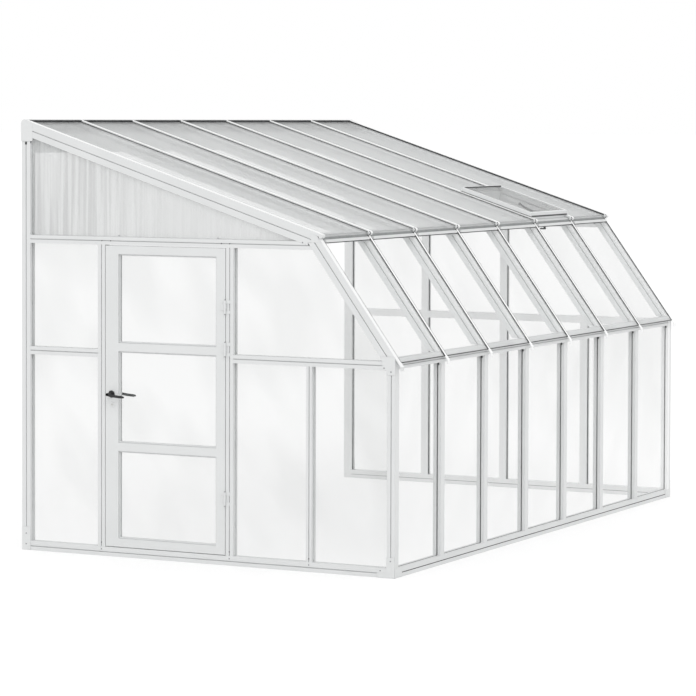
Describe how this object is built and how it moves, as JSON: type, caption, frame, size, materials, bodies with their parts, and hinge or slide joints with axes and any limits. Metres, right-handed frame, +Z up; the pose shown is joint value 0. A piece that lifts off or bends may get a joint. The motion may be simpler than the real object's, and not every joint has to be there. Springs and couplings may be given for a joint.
{
  "type": "lean-to greenhouse",
  "caption": "Lean-to greenhouse with a white resin frame, clear front and gable panes, sloped eave panes, a twin-wall roof, a hinged gable door and a hinged roof vent.",
  "frame": {"origin": "centre of the bounding box seen from above, on the ground", "axes": "+X along the length away from the door gable, +Y from the glazed front towards the house wall, +Z up"},
  "size_m": [4.339, 2.536, 2.586],
  "materials": {
    "resin": "satin white resin",
    "clear_pane": "clear",
    "twin_wall": "translucent, fine lines down the slope",
    "black": "satin"
  },
  "bodies": {
    "frame": {"base_rail_front": "resin", "base_rail_near": "resin", "base_rail_far": "resin", "front_post_0": "resin", "front_post_1": "resin", "front_post_2": "resin", "front_post_3": "resin", "front_post_4": "resin", "front_post_5": "resin", "front_post_6": "resin", "front_post_7": "resin", "knee_rail_front": "resin", "slope_bar_0": "resin", "slope_bar_1": "resin", "slope_bar_2": "resin", "slope_bar_3": "resin", "slope_bar_4": "resin", "slope_bar_5": "resin", "slope_bar_6": "resin", "slope_bar_7": "resin", "eave_beam": "resin", "rafter_0": "resin", "rafter_1": "resin", "rafter_2": "resin", "rafter_3": "resin", "rafter_4": "resin", "rafter_5": "resin", "rafter_6": "resin", "rafter_7": "resin", "ridge_beam": "resin", "wall_post_near": "resin", "wall_post_far": "resin", "latch_jamb": "resin", "hinge_jamb": "resin", "mid_post_near": "resin", "eave_rail_near": "resin", "knee_rail_near_front": "resin", "knee_rail_near_wall": "resin", "far_post_front": "resin", "far_post_middle": "resin", "far_post_wall": "resin", "knee_rail_far": "resin", "eave_rail_far": "resin", "vent_trimmer": "resin", "front_glazing": "clear_pane", "slope_glazing": "clear_pane", "gable_glazing_near_front": "clear_pane", "gable_glazing_near_wall": "clear_pane", "gable_glazing_far": "clear_pane", "roof_glazing": "twin_wall", "gable_panel_near": "twin_wall", "gable_panel_far": "twin_wall"},
    "door": {"door_leaf": "resin", "door_glazing": "clear_pane", "door_hinge_top": "resin", "door_hinge_middle": "resin", "door_hinge_bottom": "resin"},
    "handle": {"door_handle": "black"},
    "vent": {"vent_sash": "twin_wall"},
    "stay": {"vent_stay": "black"}
  },
  "joints": [
    {"name": "door_swing", "type": "hinge", "parent": "frame", "child": "door", "pos_m": [-2.1235, -0.134, 0.95], "axis": [0, 0, 1], "range_deg": [0, 110]},
    {"name": "handle_turn", "type": "hinge", "parent": "door", "child": "handle", "pos_m": [-2.0955, 0.638, 0.965], "axis": [1, 0, 0], "range_deg": [0, 40], "stiffness_Nm_per_rad": 0.6, "springref_deg": -17.19},
    {"name": "vent_open", "type": "hinge", "parent": "frame", "child": "vent", "pos_m": [1.237, -0.20974, 2.11553], "axis": [-1, 0, 0], "range_deg": [0, 20]},
    {"name": "stay_swing", "type": "hinge", "parent": "vent", "child": "stay", "pos_m": [1.294, -0.47933, 2.02616], "axis": [1, 0, 0], "range_deg": [0, 20]}
  ],
  "couplings": [
    {"joint": "stay_swing", "follows": "vent_open", "ratio": 1}
  ]
}
